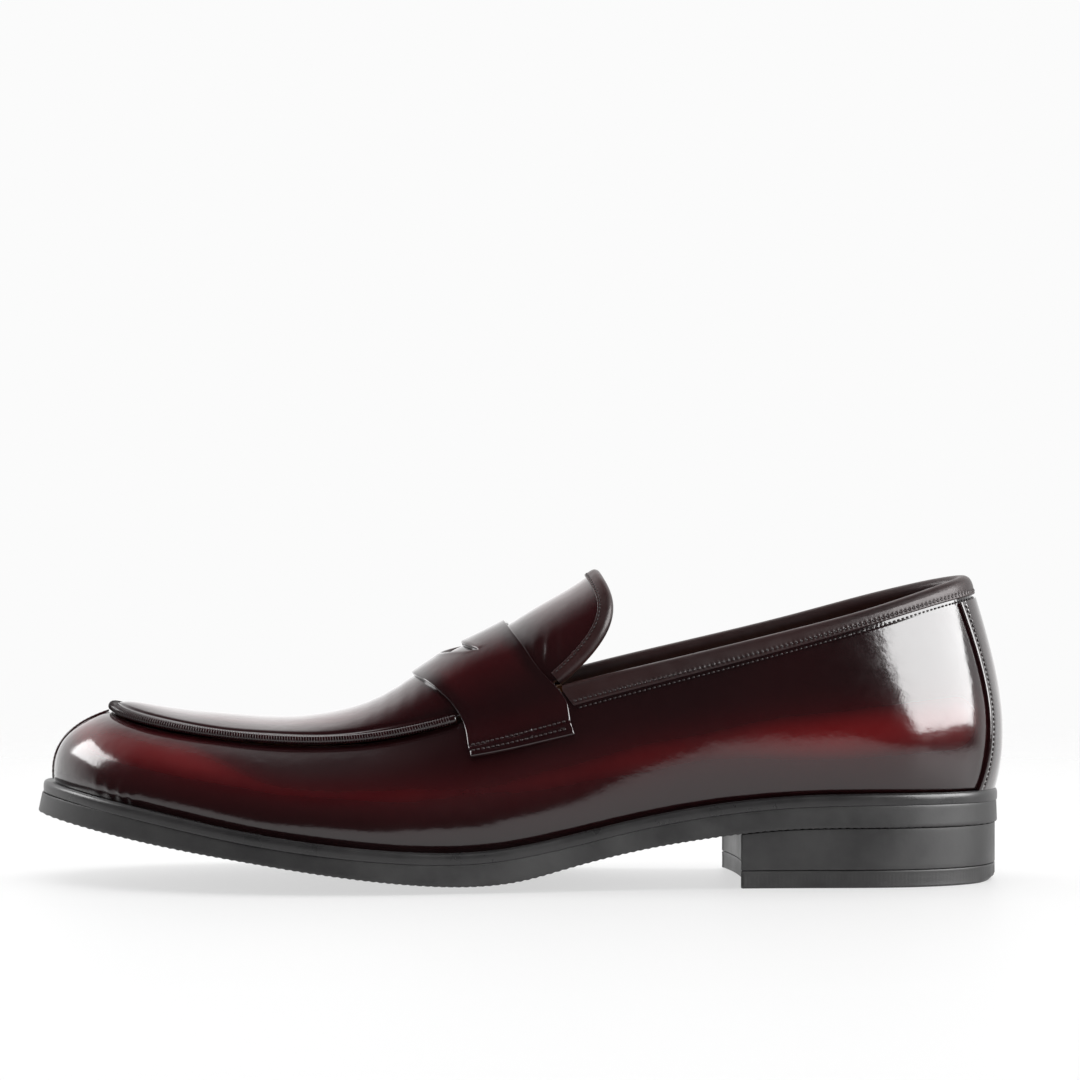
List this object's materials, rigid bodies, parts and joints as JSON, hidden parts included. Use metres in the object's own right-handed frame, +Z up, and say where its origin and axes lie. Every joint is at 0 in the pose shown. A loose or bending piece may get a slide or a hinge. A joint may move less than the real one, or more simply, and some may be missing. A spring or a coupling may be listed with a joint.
{
  "type": "penny loafer",
  "caption": "Slip-on leather shoe with a raised apron seam, slotted instep strap, bound topline, black rubber sole and stacked low heel.",
  "frame": {"origin": "on the floor, under the middle of the shoe's length and width", "axes": "+X from the toe to the heel, +Y to the inner (medial) side, +Z up"},
  "size_m": [0.3016, 0.1054, 0.0967],
  "materials": {
    "upper_leather": "polished brush-off",
    "lining_leather": "matt",
    "grip_suede": "suede",
    "stiffener": "impregnated felt",
    "fibre_board": "fibre board",
    "foam": "foam",
    "cork": "granulated cork",
    "steel": "zinc plated",
    "sole_rubber": "semi-matt",
    "welt_rubber": "satin",
    "heel_rubber": "semi-matt",
    "top_piece_rubber": "matt, serrated"
  },
  "bodies": {
    "shoe": {"side_panel_lateral": "upper_leather", "side_panel_medial": "upper_leather", "toe_seam_piping": "upper_leather", "back_strap": "upper_leather", "topline_binding": "upper_leather", "moccasin_seam": "upper_leather", "apron": "upper_leather", "saddle_strap": "upper_leather", "apron_lining": "lining_leather", "vamp_lining_lateral": "lining_leather", "vamp_lining_medial": "lining_leather", "quarter_lining": "lining_leather", "heel_grip": "grip_suede", "heel_counter": "stiffener", "toe_puff": "stiffener", "insole_board": "fibre_board", "sock_lining": "lining_leather", "heel_pad": "foam", "cork_filler": "cork", "shank": "steel", "shank_rivets": "steel", "heel_nails": "steel", "outsole": "sole_rubber", "welt": "welt_rubber", "heel_block": "heel_rubber", "heel_top_piece": "top_piece_rubber"},
    "tongue": {"tongue": "upper_leather", "tongue_lining": "lining_leather", "tongue_binding": "upper_leather"}
  },
  "joints": [
    {"name": "tongue_flex", "type": "hinge", "parent": "shoe", "child": "tongue", "pos_m": [0.00043, 0.00171, 0.07192], "axis": [0, -1, 0], "range_deg": [0, 14], "stiffness_Nm_per_rad": 0.05}
  ]
}
